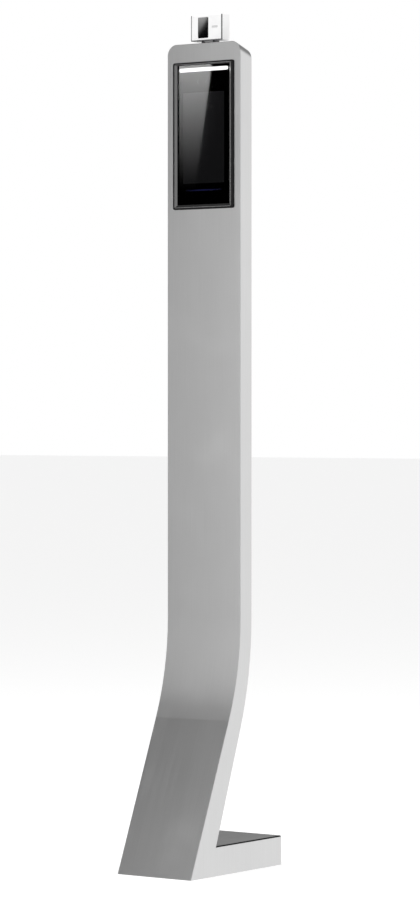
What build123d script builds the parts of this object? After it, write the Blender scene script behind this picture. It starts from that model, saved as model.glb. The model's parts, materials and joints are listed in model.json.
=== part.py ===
from build123d import *
import os
from math import cos, radians, sin, sqrt, tan

# Face recognition terminal stand. Millimetres and degrees. X to the right seen from the front,
# the front faces -Y, Z up. The origin is the centre of the foot's footprint on the floor.

# ---------------------------------------------------------------- driving dimensions
# Column and foot
column_height = 1200.0
foot_depth = 228.5          # toe to heel on the floor
foot_height = 41.0
front_overhang = 122.0      # the toe stands this far ahead of the column's front face
throat_depth = 45.8         # column front to back where it meets the foot
front_lean = 22.9           # lean of the front face below the bend
rear_lean = 20.2            # lean of the rear face below the bend
front_bend_radius = 370.0
rear_bend_radius = 470.0
sheet = 1.5
corner_radius = 16.0        # upper corners of the column seen from the front
top_slope = 18.0            # fall of the column's top towards the rear
front_edge_radius = 0.7
rear_edge_radius = 2.5
rear_flange = 8.0           # fold round the rear panel
heel_edge_radius = 3.0
heel_return = 10.0          # fold of the heel along each side
base_thickness = 8.0
anchor_hole_radius = 5.5
anchor_inset_x = 21.5       # anchor centre from the inside of the side wall
anchor_inset_y = 27.0       # anchor centre from the throat and from the heel
cable_hole_radius = 16.0
grommet_bore_radius = 12.0
gusset_thickness = 4.0
gusset_height = 150.0
gusset_inset = 18.0

# Foot cover
ledge_width = 13.0
ledge_drop = 12.0
seal_inset = 1.0            # edging back from the outside of the foot
seal_width = 2.0
seal_height = 1.6
seal_floor = 0.6
cover_gap = 0.1
stud_radius = 2.5
stud_length = 8.0

# Terminal
glass_width = 93.0
glass_height = 203.0
glass_thickness = 1.1
glass_radius = 1.0
bezel_side = 4.0
bezel_top = 2.0
bezel_bottom = 4.0
bezel_rim = 0.8
bevel_depth = 1.8
bezel_depth = 6.0
bezel_radius = 2.0
terminal_depth = 23.5
terminal_proud = 3.0        # bezel ahead of the column's front face
gasket_side = 3.5
gasket_end = 2.5
gasket_overlap = 1.5        # lip of the gasket over the front sheet
gasket_proud = 2.2
gasket_radius = 3.0
side_border = 11.0           # front sheet left beside the gasket
top_border = 27.2           # front sheet left above the gasket
fit_gap = 0.1
case_wall = 2.0
case_inset = 1.0            # case back from the outside of the bezel
case_screw_sink = 2.2
case_screw_inset = 3.0      # from the edge of the case
connector_depth = 9.5
display_size = (75.0, 134.0, 3.0)
display_drop = 39.0         # top of the display below the top of the glass
light_bar_size = (88.0, 6.3, 3.0)
light_bar_drop = 3.6
lens_spacing = 14.7
lens_radius = 5.5
lens_drop = 24.7
status_light_size = (64.0, 2.2, 3.0)
status_light_rise = 20.0
board_clearance = 8.4       # free depth between the main board and the case's back face
board_thickness = 1.6
plate_thickness = 1.5
service_gap = 6.5           # free depth between mounting plate and rear panel
rail_width = 7.0
rail_seat_depth = 3.0
rail_screw_inset = 3.0      # from the outer edge of the rail
plate_end_inset = 2.0       # mounting plate short of the bezel at each end
plate_window = (50.0, 90.0)
plate_screw_inset = 14.0    # screws from the ends of the mounting plate
plate_screw_radius = 1.55
terminal_screw_x = 34.0
camera_size = (34.0, 14.0)
camera_setback = 4.0        # camera body behind the glass
lens_wall = 1.2
lens_recess = 2.5
speaker_size = (36.0, 26.0, 4.5)
speaker_rise = 52.75        # speaker centre above the underside of the glass
sound_slot = (28.0, 1.5)
sound_slot_pitch = 5.0
sound_slot_count = 5
switch_half = 4.0
switch_depth = 4.0
button_stem_radius = 1.5
button_radius = 2.4
button_x = 12.0
button_drop = 20.0          # button below the middle of the glass

# Service door
door_border = 13.5          # rear panel left beside the door
door_drop = 65.0            # door opening below the bezel
door_rise = 6.0             # door opening above the bezel
door_gap = 1.0
door_radius = 3.0
hinge_stand_off = 2.6       # hinge axis behind the rear face
knuckle_radius = 2.3
hinge_pin_radius = 1.3
hinge_height = 40.0
hinge_leaf_width = 11.5
hinge_leaf_thickness = 1.2
rivet_radius = 1.5
rivet_head_radius = 2.4
rivet_inset = 3.2           # rivet from the edge of the hinge leaf
vent_size = (56.0, 3.6)
vent_pitch = 9.0
vent_count = 6
vent_drop = 40.0            # first vent below the top of the door
running_clearance = 0.05
axial_gap = 0.3
lock_inset = 15.5           # lock axis from the edge of the door opening
lock_rise = 30.0
lock_body_radius = 8.0
lock_flange_radius = 9.5
lock_body_length = 5.5      # barrel from the rear face inwards
lock_nut_thickness = 3.0
plug_radius = 5.0
cam_thickness = 2.0
cam_length = 22.0

# Temperature sensor module
head_width = 55.0
head_depth = 20.0
head_height = 37.0
head_gap = 3.8              # above the column's front edge
head_set_back = 6.75        # behind the column's front face
head_wall = 1.8
head_edge_radius = 1.5
trim_width = 1.2
face_thickness = 1.5
window_size = (18.5, 30.2)
window_centre_x = -5.9
window_drop = 3.0
window_radius = 1.5
pivot_rise = 3.5            # tilt axis above the underside of the module
tongue_radius = 6.0
tongue_width = 14.6
ear_radius = 5.0
ear_thickness = 4.3
washer_thickness = 0.5
tilt_pin_radius = 1.5
bracket_base = 1.0
bracket_depth = 14.0
stud_reach = 4.5            # bracket studs below the top sheet
nut_height = 2.4
cable_pass_radius = 2.5     # sensor cable hole through the bracket and the top
sensor_cable_radius = 1.5

# Wiring
loom_radius = 4.0
loom_depth = 7.0            # loom centre behind the front face
junction_size = (60.0, 26.0, 18.0)
clip_height = 12.0
clip_width = 20.0
clip_count = 3

# ---------------------------------------------------------------- derived places
column_width = glass_width + 2 * (bezel_side + gasket_side + side_border)
half_width = column_width / 2
inner_half = half_width - sheet
column_depth = terminal_depth - terminal_proud + plate_thickness + service_gap + sheet
toe_y = -foot_depth / 2
heel_y = foot_depth / 2
front_y = toe_y + front_overhang
rear_y = front_y + column_depth
throat_y = toe_y + foot_height * tan(radians(front_lean)) + throat_depth
strap_top = column_height - corner_radius
anchor_x = inner_half - anchor_inset_x
anchor_front_y = throat_y + anchor_inset_y
anchor_rear_y = heel_y - anchor_inset_y
cable_hole_y = (anchor_front_y + anchor_rear_y) / 2

bezel_width = glass_width + 2 * bezel_side
bezel_top_z = column_height - top_border - gasket_end
glass_top_z = bezel_top_z - bezel_top
glass_low_z = glass_top_z - glass_height
bezel_low_z = glass_low_z - bezel_bottom
bezel_height = bezel_top_z - bezel_low_z
bezel_z = (bezel_top_z + bezel_low_z) / 2
glass_z = (glass_top_z + glass_low_z) / 2
bezel_y = front_y - terminal_proud
bezel_back_y = bezel_y + bezel_depth
glass_y = bezel_y + bevel_depth
glass_back_y = glass_y + glass_thickness
case_back_y = bezel_y + terminal_depth
board_back_y = case_back_y - board_clearance
board_y = board_back_y - board_thickness
plate_back_y = case_back_y + plate_thickness
cutout_width = bezel_width + 2 * (gasket_side - gasket_overlap)
cutout_height = bezel_height + 2 * (gasket_end - gasket_overlap)

door_low_z = bezel_low_z - door_drop
door_top_z = bezel_top_z + door_rise
door_z = (door_low_z + door_top_z) / 2
opening_half = half_width - door_border
hinge_x = -(opening_half - door_gap / 2)
hinge_y = rear_y + hinge_stand_off
lock_x = opening_half - lock_inset
lock_z = door_low_z + lock_rise
lock_end_y = rear_y - lock_body_length
hinge_centres = (door_low_z + hinge_height, door_top_z - hinge_height)

head_low_z = column_height + head_gap
head_top_z = head_low_z + head_height
head_y = front_y + head_set_back
head_back_y = head_y + head_depth
pivot_z = head_low_z + pivot_rise
pivot_y = head_y + head_depth / 2
face_back_y = head_y + face_thickness
ear_start = tongue_width / 2 + washer_thickness + 2 * fit_gap
ear_end = ear_start + ear_thickness


# ---------------------------------------------------------------- shape helpers
# Cuts run a millimetre or more past the material that they go through.
def block(x0, x1, y0, y1, z0, z1):
    """A box between two corners."""
    centre = Pos((x0 + x1) / 2, (y0 + y1) / 2, (z0 + z1) / 2)
    return centre * Box(x1 - x0, y1 - y0, z1 - z0)


def rod_x(y, z, radius, x0, x1):
    return Pos((x0 + x1) / 2, y, z) * Rot(0, 90, 0) * Cylinder(radius, x1 - x0)


def rod_y(x, z, radius, y0, y1):
    return Pos(x, (y0 + y1) / 2, z) * Rot(90, 0, 0) * Cylinder(radius, y1 - y0)


def rod_z(x, y, radius, z0, z1):
    return Pos(x, y, (z0 + z1) / 2) * Cylinder(radius, z1 - z0)


def plate_y(sketch, y0, y1):
    """A front view outline (X right, Z up) made solid from y0 to y1."""
    return extrude(Plane.XZ.offset(-y1) * sketch, amount=y1 - y0)


def rounded_plate(width, height, radius, y0, y1, z, x=0.0):
    return plate_y(Pos(x, z) * RectangleRounded(width, height, radius), y0, y1)


def mirrored(solid):
    return [solid, mirror(solid, Plane.YZ)]


def group(solids):
    return Compound(children=[s for item in solids for s in item.solids()])


def screw(head_radius, head_height, shank_radius, length):
    """A screw along Z: head above zero with a hexagon recess, shank below."""
    head = rod_z(0, 0, head_radius, 0, head_height)
    head = fillet(head.edges().group_by(Axis.Z)[-1], head_height * 0.3)
    recess = Pos(0, 0, head_height * 0.4) * extrude(RegularPolygon(head_radius * 0.5, 6), head_height)
    return head - recess + rod_z(0, 0, shank_radius, -length, 0)


def fall(y):
    """Drop of the column's top from the front face back to y."""
    return (y - front_y) * tan(radians(top_slope))


def on_top(*shapes):
    """Shapes drawn around the origin, Z up, set on the sloping top below the tilt axis."""
    place = Pos(0, pivot_y, column_height - fall(pivot_y)) * Rot(-top_slope, 0, 0)
    return [place * shape for shape in shapes]


class BentFace:
    """A face of the column: upright above, leaning forward below, with an arc between."""

    def __init__(self, plane_y, knee_z, radius, lean):
        self.plane_y = plane_y
        self.radius = radius
        self.lean = radians(lean)
        self.start_z = knee_z + radius * tan(self.lean / 2)

    def arc_points(self, depth):
        radius = self.radius + depth
        points = []
        for angle in (0, self.lean / 2, self.lean):
            y = self.plane_y + depth - radius * (1 - cos(angle))
            points.append((y, self.start_z - radius * sin(angle)))
        return points

    def y_at(self, z, depth=0.0):
        """Y of the face moved back by depth, at height z."""
        start, _, end = self.arc_points(depth)
        if z >= start[1]:
            return start[0]
        if z >= end[1]:
            radius = self.radius + depth
            return start[0] - radius + sqrt(radius ** 2 - (self.start_z - z) ** 2)
        return end[0] - (end[1] - z) * tan(self.lean)

    def line(self, depth, low, high):
        """The face's edges seen from the side, from high down to low."""
        start, middle, end = self.arc_points(depth)
        upper = Line((start[0], high), start)
        bend = ThreePointArc(start, middle, end)
        lower = Line(end, (self.y_at(low, depth), low))
        return [upper, bend, lower]


def side_plate(edges, x0, x1):
    """A closed side view outline (Y right, Z up) made solid from x0 to x1."""
    return extrude(Plane.YZ.offset(x0) * make_face(edges), amount=x1 - x0)


def chain(*points):
    return [Line(a, b) for a, b in zip(points, points[1:])]


def between(front_edges, rear_edges):
    """Edges that close the strip between two side view lines running top to bottom."""
    top = Line(front_edges[0] @ 0, rear_edges[0] @ 0)
    bottom = Line(front_edges[-1] @ 1, rear_edges[-1] @ 1)
    return front_edges + rear_edges + [top, bottom]


def column_outline(inset):
    """The column seen from the front, with rounded upper corners and its foot below the floor."""
    height = column_height - inset + foot_depth
    middle = column_height - inset - height / 2
    outline = Pos(0, middle) * Rectangle(column_width - 2 * inset, height)
    return fillet(outline.vertices().group_by(Axis.Y)[-1], corner_radius - inset)


def sloping_plate(sketch, y0, y1):
    """A front view outline made solid from y0 to y1 along the slope of the column's top."""
    start = Plane.XZ.offset(-y0) * Pos(0, -fall(y0)) * sketch
    direction = Vector(0, y1 - y0, fall(y0) - fall(y1))
    return extrude(start, amount=direction.length, dir=direction.normalized())


def rim_edges(solid, face):
    """Outline edges of a bent sheet that lie on the given face, without its lower end."""
    top_z = column_height - fall(face.plane_y)
    found = []
    for edge in solid.edges():
        middle = edge @ 0.5
        on_face = abs(middle.Y - face.y_at(middle.Z)) < 0.01
        at_side = abs(middle.X) > half_width - corner_radius
        at_top = middle.Z > top_z - 0.01
        if on_face and (at_side or at_top):
            found.append(edge)
    return found


front = BentFace(front_y, front_overhang / tan(radians(front_lean)), front_bend_radius, front_lean)
rear = BentFace(
    rear_y, foot_height + (rear_y - throat_y) / tan(radians(rear_lean)), rear_bend_radius, rear_lean
)
nodes = {}


# ---------------------------------------------------------------- stand sheet metal
def make_front_panel():
    strip = between(front.line(0, 0, column_height), front.line(sheet, 0, column_height))
    panel = side_plate(strip, -half_width, half_width)
    panel &= sloping_plate(column_outline(0), toe_y - 1, heel_y)
    panel = fillet(rim_edges(panel, front), front_edge_radius)
    return panel - rounded_plate(
        cutout_width, cutout_height, gasket_radius, front_y - 1, front_y + sheet + 1, bezel_z
    )


def make_rear_panel():
    low = foot_height
    body = between(rear.line(-rear_flange, low, column_height), rear.line(0, low, column_height))
    pan = side_plate(body, -half_width, half_width) & sloping_plate(column_outline(0), toe_y, heel_y)
    pan = fillet(rim_edges(pan, rear), rear_edge_radius)
    hollow = between(
        rear.line(-rear_flange - 1, low - 1, column_height), rear.line(-sheet, low - 1, column_height)
    )
    inside = side_plate(hollow, -inner_half, inner_half)
    pan -= inside & sloping_plate(column_outline(sheet), toe_y, heel_y)
    opening = rounded_plate(
        2 * opening_half, door_top_z - door_low_z, door_radius + door_gap,
        rear_y - sheet - 1, rear_y + 1, door_z
    )
    return pan - opening - group(rivet_holes(-1))


def make_side_wall():
    """The right wall: column side and foot side in one sheet."""
    front_edges = front.line(sheet, 0, strap_top - fall(front_y + sheet))
    rear_edges = rear.line(-rear_flange, foot_height, strap_top - fall(rear_y - rear_flange))
    top = Line(front_edges[0] @ 0, rear_edges[0] @ 0)
    step = rear_edges[-1] @ 1
    foot = chain(
        (step.X, step.Y),
        (heel_y - heel_return, foot_height),
        (heel_y - heel_return, 0),
        (front.y_at(0, sheet), 0),
    )
    return side_plate(front_edges + rear_edges + [top] + foot, inner_half, half_width)


def make_top_cap():
    upper = Pos(0, strap_top + corner_radius / 2) * Rectangle(column_width, corner_radius)
    arch = (column_outline(0) - column_outline(sheet)) & upper
    cap = sloping_plate(arch, front_y + sheet, rear_y - rear_flange)
    holes = [rod_z(x, 0, tilt_pin_radius + fit_gap, -3 * sheet, 1) for x in stud_places()]
    return cap - group(on_top(*holes, rod_z(0, 0, cable_pass_radius, -3 * sheet, 1)))


def make_foot_rear_wall():
    outer = block(-half_width, half_width, heel_y - heel_return, heel_y, 0, foot_height)
    upright = outer.edges().filter_by(Axis.Z).group_by(Axis.Y)[-1]
    outer = fillet(upright, heel_edge_radius)
    return outer - block(
        -inner_half, inner_half, heel_y - heel_return - 1, heel_y - sheet, -1, foot_height + 1
    )


def make_base_plate():
    heel_inside = heel_y - sheet
    outline = chain(
        (front.y_at(0, sheet), 0),
        (heel_inside, 0),
        (heel_inside, base_thickness),
        (front.y_at(base_thickness, sheet), base_thickness),
        (front.y_at(0, sheet), 0),
    )
    plate = side_plate(outline, -inner_half, inner_half)
    for x in (-anchor_x, anchor_x):
        for y in (anchor_front_y, anchor_rear_y):
            plate -= rod_z(x, y, anchor_hole_radius, -1, base_thickness + 1)
    return plate - rod_z(0, cable_hole_y, cable_hole_radius, -1, base_thickness + 1)


def stud_places():
    middle = (ear_start + ear_end) / 2
    return (-middle, middle)


def rivet_places(side):
    """Rivet centres of both hinges: side -1 on the rear panel, +1 on the door."""
    x = hinge_x + side * (hinge_leaf_width - rivet_inset)
    return [(x, z + dz) for z in hinge_centres for dz in (-hinge_height / 3, hinge_height / 3)]


def rivet_holes(side):
    return [rod_y(x, z, rivet_radius, rear_y - sheet - 1, rear_y + 3) for x, z in rivet_places(side)]


def rivets(side):
    found = []
    leaf_y = rear_y + hinge_leaf_thickness
    for x, z in rivet_places(side):
        head = rod_y(x, z, rivet_head_radius, leaf_y, leaf_y + 1.0)
        head = fillet(head.edges().group_by(Axis.Y)[-1], 0.7)
        found.append(head + rod_y(x, z, rivet_radius, rear_y - sheet, leaf_y))
    return found


def make_gussets():
    strip = between(
        front.line(sheet, base_thickness, column_height), rear.line(-sheet, base_thickness, column_height)
    )
    x = inner_half - gusset_inset
    web = side_plate(strip, x - gusset_thickness / 2, x + gusset_thickness / 2)
    web &= block(0, half_width, toe_y, heel_y, base_thickness, gusset_height)
    web -= block(0, half_width, throat_y - 2 * sheet, heel_y, 0, foot_height)
    return group(mirrored(web))


nodes["front_panel"] = make_front_panel()
nodes["rear_panel"] = make_rear_panel()
side_walls = mirrored(make_side_wall())
nodes["side_wall_right"] = side_walls[0]
nodes["side_wall_left"] = side_walls[1]
nodes["top_cap"] = make_top_cap()
nodes["foot_rear_wall"] = make_foot_rear_wall()
nodes["base_plate"] = make_base_plate()
nodes["column_gussets"] = make_gussets()


# ---------------------------------------------------------------- foot cover
seal_front_y = rear.y_at(foot_height + seal_height) + cover_gap
seal_half = half_width - seal_inset
seal_back_y = heel_y - seal_inset
cover_half = seal_half - seal_width
cover_front_y = seal_front_y + seal_width
cover_back_y = seal_back_y - seal_width
seal_mid_z = foot_height + seal_floor
seal_top_z = foot_height + seal_height
ledge_half = inner_half - ledge_width
stud_x = inner_half - ledge_width / 2 - sheet
stud_ys = (cover_front_y + ledge_width, cover_back_y - ledge_width)


def stud_rods(radius, z0, z1):
    return [rod_z(x, y, radius, z0, z1) for x in (-stud_x, stud_x) for y in stud_ys]


def make_cover_ledges():
    """Angles under the cover: one along each side, one along the heel, one across the throat."""
    top = foot_height
    low = foot_height - sheet
    front_edge = throat_y - sheet
    heel_inside = heel_y - sheet
    side_flange = block(ledge_half, inner_half, front_edge, heel_inside, low, top)
    side_web = block(inner_half - sheet, inner_half, front_edge, heel_inside, top - ledge_drop, low)
    across = block(-ledge_half, ledge_half, front_edge, throat_y + ledge_width, low, top)
    across += block(-ledge_half, ledge_half, front_edge, throat_y, top - ledge_drop, low)
    rear_ledge = block(-ledge_half, ledge_half, heel_inside - ledge_width, heel_inside, low, top)
    rear_ledge += block(-ledge_half, ledge_half, heel_inside - sheet, heel_inside, top - ledge_drop, low)
    holes = group(stud_rods(stud_radius + fit_gap, low - 1, top + 1))
    return group([s - holes for s in mirrored(side_flange + side_web)] + [across, rear_ledge])


def make_cover_seal():
    ring = block(-seal_half, seal_half, seal_front_y, seal_back_y, foot_height, seal_top_z)
    ring = fillet(ring.edges().filter_by(Axis.Z), 1.5)
    ring -= block(-cover_half, cover_half, cover_front_y, cover_back_y, seal_mid_z, seal_top_z + 1)
    ring -= block(
        -ledge_half, ledge_half, throat_y + ledge_width, heel_y - sheet - ledge_width, 0, seal_top_z + 1
    )
    return ring - group(stud_rods(stud_radius + fit_gap, 0, seal_top_z + 1))


def make_foot_cover():
    half = cover_half - cover_gap
    cover_start, cover_end = cover_front_y + cover_gap, cover_back_y - cover_gap
    cover = block(-half, half, cover_start, cover_end, seal_mid_z, seal_top_z)
    return fillet(cover.edges().group_by(Axis.Z)[-1], 0.4)


def make_cover_studs():
    studs = []
    for stud in stud_rods(stud_radius, seal_mid_z - stud_length, seal_mid_z):
        studs.append(chamfer(stud.edges().group_by(Axis.Z)[0], 0.8))
    return group(studs)


def make_grommet():
    body = rod_z(0, cable_hole_y, cable_hole_radius - fit_gap, 0.5, base_thickness)
    body += rod_z(0, cable_hole_y, cable_hole_radius + 3, base_thickness, base_thickness + 2.5)
    body = fillet(body.edges().group_by(Axis.Z)[-1], 1.0)
    return body - rod_z(0, cable_hole_y, grommet_bore_radius, -1, base_thickness + 4)


nodes["cover_ledges"] = make_cover_ledges()
nodes["foot_cover_seal"] = make_cover_seal()
nodes["foot_cover"] = make_foot_cover()
nodes["cover_studs"] = make_cover_studs()
nodes["cable_grommet"] = make_grommet()


# ---------------------------------------------------------------- wiring in the stand
junction_top_z = base_thickness + junction_size[2]
connector_z = bezel_low_z - 12.0
clip_back_y = front_y + loom_depth + loom_radius + 2


def make_junction_block():
    y = front.y_at(junction_top_z, loom_depth)
    width, depth, height = junction_size
    body = Pos(0, y + depth / 4, base_thickness + height / 2) * Box(width, depth, height)
    body = fillet(body.edges().filter_by(Axis.Z), 2)
    slots = [block(x - 4, x + 4, y + depth * 0.6, y + depth, junction_top_z - 6, junction_top_z + 1)
             for x in range(-20, 30, 10)]
    keep = side_plate(
        between(front.line(sheet, 0, column_height), rear.line(60, 0, column_height)), -width, width
    )
    return (body - group(slots)) & keep


def make_loom():
    path = front.line(loom_depth, junction_top_z, connector_z)
    start = path[2] @ 1
    lift = Plane.YZ * Wire([path[2], path[1], path[0]])
    section = Plane(origin=(0, start.X, start.Y), z_dir=(0, sin(front.lean), cos(front.lean)))
    loom = sweep(section * Circle(loom_radius), path=lift)
    return loom - block(-20, 20, toe_y, heel_y, 0, junction_top_z)


def clip_heights():
    first = front.start_z + 60
    step = (connector_z - 60 - first) / (clip_count - 1)
    return [first + i * step for i in range(clip_count)]


def make_clips():
    clips = []
    for z in clip_heights():
        top = z + clip_height
        saddle = block(-clip_width / 2, clip_width / 2, front_y + sheet, clip_back_y, z, top)
        saddle = fillet(saddle.edges().filter_by(Axis.Z), 2)
        clips.append(saddle - rod_z(0, front_y + loom_depth, loom_radius + fit_gap, z - 1, top + 1))
    return group(clips)


nodes["junction_block"] = make_junction_block()
nodes["wiring_loom"] = make_loom()
nodes["loom_clips"] = make_clips()


# ---------------------------------------------------------------- terminal mounting
rail_x = cutout_width / 2
plate_half = rail_x + rail_width
plate_low_z = bezel_low_z + plate_end_inset
plate_top_z = bezel_top_z - plate_end_inset
rail_screw_x = plate_half - rail_screw_inset
screw_zs = (plate_low_z + plate_screw_inset, plate_top_z - plate_screw_inset)


def make_rails():
    """Folded rails: welded to the front sheet, screwed to the mounting plate."""
    back = case_back_y
    y0 = front_y + sheet
    web = block(rail_x, rail_x + sheet, y0, back, plate_low_z, plate_top_z)
    foot = block(rail_x, plate_half, y0, y0 + sheet, plate_low_z, plate_top_z)
    seat = block(rail_x, plate_half, back - rail_seat_depth, back, plate_low_z, plate_top_z)
    rail = web + foot + seat
    for z in screw_zs:
        rail -= rod_y(rail_screw_x, z, plate_screw_radius + 0.05, back - rail_seat_depth - 1, back + 1)
    return group(mirrored(rail))


def make_mounting_plate():
    plate = block(-plate_half, plate_half, case_back_y, plate_back_y, plate_low_z, plate_top_z)
    plate = fillet(plate.edges().filter_by(Axis.Y), 3)
    plate -= rounded_plate(*plate_window, 6, case_back_y - 1, plate_back_y + 1, glass_z)
    for x, z in plate_screw_places + terminal_screw_places:
        plate -= rod_y(x, z, plate_screw_radius + 0.25, case_back_y - 1, plate_back_y + 1)
    return plate


def rear_screws(places, length, shank, head_radius, seat_y):
    body = Rot(-90, 0, 0) * screw(head_radius, 2.0, shank, length)
    return group([Pos(x, seat_y, z) * body for x, z in places])


plate_screw_places = [(x * rail_screw_x, z) for x in (-1, 1) for z in screw_zs]
terminal_screw_places = [(x * terminal_screw_x, z) for x in (-1, 1) for z in screw_zs]
nodes["mounting_rails"] = make_rails()
nodes["mounting_plate"] = make_mounting_plate()
nodes["plate_screws"] = rear_screws(plate_screw_places, 4.0, plate_screw_radius, 2.8, plate_back_y)
nodes["terminal_screws"] = rear_screws(terminal_screw_places, 3.2, plate_screw_radius, 3.2, plate_back_y)


# ---------------------------------------------------------------- terminal
case_width = bezel_width - 2 * case_inset
case_height = bezel_height - 2 * case_inset
case_screw_seat_y = case_back_y - case_screw_sink
case_screw_pilot_y = glass_back_y + 1.5
case_screw_length = case_screw_seat_y - case_screw_pilot_y - axial_gap
case_screw_x = case_width / 2 - case_screw_inset
case_screw_zs = (bezel_low_z + 6.0, bezel_top_z - 6.0)
case_screw_places = [(x * case_screw_x, z) for x in (-1, 1) for z in case_screw_zs]
reset_z = glass_z - button_drop
lens_z = glass_top_z - lens_drop
lens_places = [(x * lens_spacing / 2, lens_z) for x in (-1, 1)]


def make_gasket():
    lip = rounded_plate(
        bezel_width + 2 * gasket_side, bezel_height + 2 * gasket_end, gasket_radius,
        front_y - gasket_proud, front_y, bezel_z
    )
    lip = fillet(lip.edges().group_by(Axis.Y)[0], 0.6)
    sleeve = rounded_plate(
        cutout_width - 0.02, cutout_height - 0.02, gasket_radius, front_y, bezel_back_y, bezel_z
    )
    hole = rounded_plate(
        bezel_width + 2 * fit_gap, bezel_height + 2 * fit_gap, bezel_radius,
        front_y - 5, bezel_back_y + 1, bezel_z
    )
    return lip + sleeve - hole


def make_bezel():
    frame = rounded_plate(bezel_width, bezel_height, bezel_radius, bezel_y, bezel_back_y, bezel_z)
    mouth = Plane.XZ.offset(-bezel_y) * Pos(0, bezel_z) * Rectangle(
        bezel_width - 2 * bezel_rim, bezel_height - 2 * bezel_rim
    )
    floor = Plane.XZ.offset(-glass_y) * Pos(0, glass_z) * Rectangle(glass_width, glass_height)
    frame -= loft([mouth, floor])
    frame -= rounded_plate(
        glass_width + 2 * fit_gap, glass_height + 2 * fit_gap, glass_radius,
        glass_y, glass_back_y, glass_z
    )
    frame -= rounded_plate(glass_width - 4, glass_height - 4, 2, glass_back_y, bezel_back_y + 1, glass_z)
    for x, z in case_screw_places:
        frame -= rod_y(x, z, 1.1, case_screw_pilot_y, bezel_back_y + 1)
    return frame


def behind_glass(size, z_top, x=0.0):
    width, height, depth = size
    return block(x - width / 2, x + width / 2, glass_back_y, glass_back_y + depth, z_top - height, z_top)


def make_camera():
    width, height = camera_size
    back = glass_back_y + camera_setback
    body = block(-width / 2, width / 2, back, board_y, lens_z - height / 2, lens_z + height / 2)
    for x, z in lens_places:
        body += rod_y(x, z, lens_radius, glass_back_y + 0.2, back + 0.5)
        body -= rod_y(x, z, lens_radius - lens_wall, glass_back_y, glass_back_y + lens_recess)
    return body


def make_lenses():
    lenses = []
    for x, z in lens_places:
        lens = rod_y(x, z, lens_radius - lens_wall - 0.05, glass_back_y + 0.8, glass_back_y + lens_recess)
        lenses.append(fillet(lens.edges().group_by(Axis.Y)[0], 0.8))
    return group(lenses)


def make_main_board():
    board = rounded_plate(case_width - 12, case_height - 16, 2, board_y, board_back_y, bezel_z)
    for x, z in case_screw_places:
        board -= rod_y(x, z, 4.0, board_y - 1, board_back_y + 1)
    chips = [(-20, 40, 14), (14, 44, 12), (-18, 0, 18), (20, -44, 10)]
    for x, rise, width in chips:
        chip = Pos(x, board_back_y + 0.6, glass_z + rise) * Box(width, 1.2, width)
        board += chip
    return board


def make_back_cover():
    cover = rounded_plate(case_width, case_height, 4, bezel_back_y, case_back_y, bezel_z)
    cover -= rounded_plate(
        case_width - 2 * case_wall, case_height - 2 * case_wall, 2,
        bezel_back_y - 1, case_back_y - case_wall, bezel_z
    )
    for x, z in case_screw_places:
        cover += rod_y(x, z, 3.0, bezel_back_y, case_back_y - 1)
        cover -= rod_y(x, z, 1.4, bezel_back_y - 1, case_back_y + 1)
        cover -= rod_y(x, z, 2.4, case_screw_seat_y, case_back_y + 1)
    for x, z in terminal_screw_places:
        cover += rod_y(x, z, 3.5, board_back_y, case_back_y - 1)
        cover -= rod_y(x, z, 1.6, case_back_y - 4, case_back_y + 1)
    cover -= rod_y(button_x, reset_z, button_radius + 0.4, board_back_y, case_back_y + 1)
    width, height = sound_slot
    first = glass_low_z + speaker_rise - sound_slot_pitch * (sound_slot_count - 1) / 2
    for i in range(sound_slot_count):
        slot = Pos(0, case_back_y, first + i * sound_slot_pitch) * Box(width, 2 * case_wall + 2, height)
        cover -= slot
    return cover


def make_speaker():
    z = glass_low_z + speaker_rise
    back = case_back_y - case_wall
    width, height, depth = speaker_size
    body = rounded_plate(width, height, 4, back - depth, back, z)
    return body - rounded_plate(width - 8, height - 8, 3, back - 1.5, back + 1, z)


def make_connector_block():
    front_face = bezel_back_y + 2 * fit_gap
    rear_face = front_face + connector_depth
    low = connector_z
    body = block(-22, 22, front_face, rear_face, low, bezel_low_z + case_inset)
    for x in (-15, 15):
        body -= block(x - 5, x + 5, front_face + 2, rear_face - 2, low - 1, low + 7)
    return fillet(body.edges().filter_by(Axis.Z).group_by(Axis.X)[0], 1.0)


def make_reset_switch():
    top = board_back_y + switch_depth
    body = rounded_plate(2 * switch_half, 2 * switch_half, 0.5, board_back_y, top, reset_z, button_x)
    bore = rod_y(button_x, reset_z, button_stem_radius + running_clearance, board_back_y + 1, top + 1)
    return body - bore


def make_reset_button():
    cap_y = board_back_y + switch_depth + 1.4
    stem = rod_y(button_x, reset_z, button_stem_radius, board_back_y + 2, cap_y)
    cap = rod_y(button_x, reset_z, button_radius, cap_y, case_back_y - 0.2)
    return stem + fillet(cap.edges().group_by(Axis.Y)[-1], 0.4)


nodes["terminal_gasket"] = make_gasket()
nodes["terminal_bezel"] = make_bezel()
nodes["cover_glass"] = rounded_plate(
    glass_width, glass_height, glass_radius, glass_y, glass_back_y, glass_z
)
nodes["display_panel"] = behind_glass(display_size, glass_top_z - display_drop)
nodes["light_bar"] = behind_glass(light_bar_size, glass_top_z - light_bar_drop)
nodes["camera_module"] = make_camera()
nodes["camera_lenses"] = make_lenses()
nodes["status_light"] = behind_glass(
    status_light_size, glass_low_z + status_light_rise + status_light_size[1]
)
nodes["main_board"] = make_main_board()
nodes["terminal_back_cover"] = make_back_cover()
nodes["case_screws"] = rear_screws(case_screw_places, case_screw_length, 1.05, 2.2, case_screw_seat_y)
nodes["speaker"] = make_speaker()
nodes["connector_block"] = make_connector_block()
nodes["reset_switch"] = make_reset_switch()
nodes["reset_button"] = make_reset_button()


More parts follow.
